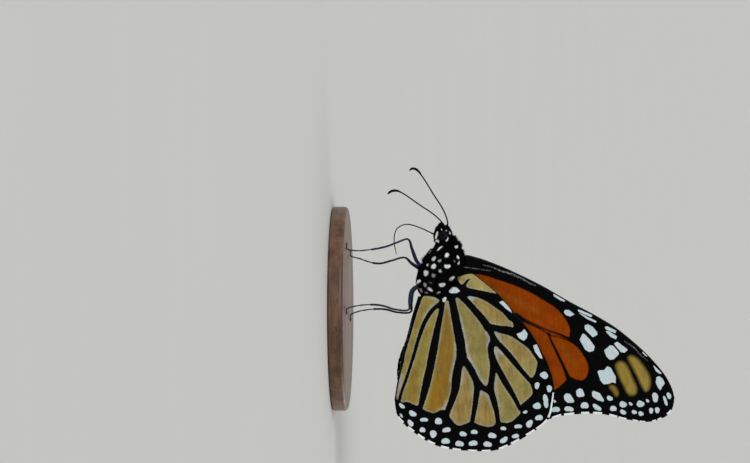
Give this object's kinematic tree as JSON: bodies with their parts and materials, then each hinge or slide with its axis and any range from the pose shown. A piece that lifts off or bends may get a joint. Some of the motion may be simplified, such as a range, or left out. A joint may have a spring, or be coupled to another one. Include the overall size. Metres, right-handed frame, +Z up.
{
  "type": "monarch butterfly",
  "caption": "Life-size monarch butterfly at rest with closed upright wings, forward feelers and an unrolled proboscis, standing on a plain round base.",
  "frame": {"origin": "centre of the round base's underside", "axes": "+Z up, head towards -X, left side towards -Y"},
  "size_m": [0.0556, 0.04, 0.0669],
  "materials": {
    "body_coat": "black scales and hair with small white spots",
    "eye": "glossy faceted black-brown",
    "feeler": "satin black horn",
    "leg": "satin blue-black horn",
    "forewing": "matt scaled membrane, orange with black veins and white spots",
    "hindwing": "matt scaled membrane, pale ochre with black veins and white spots",
    "stand": "fine-grained dark wood, satin"
  },
  "bodies": {
    "root": {"head": "body_coat", "thorax": "body_coat", "abdomen": "body_coat", "palp_left": "body_coat", "palp_right": "body_coat", "foreleg_left": "body_coat", "foreleg_right": "body_coat", "eye_left": "eye", "eye_right": "eye", "antenna_left": "feeler", "antenna_right": "feeler", "proboscis": "feeler", "midleg_left": "leg", "midleg_right": "leg", "hindleg_left": "leg", "hindleg_right": "leg", "forewing_left": "forewing", "forewing_right": "forewing", "hindwing_left": "hindwing", "hindwing_right": "hindwing", "stand_base": "stand"}
  },
  "joints": []
}
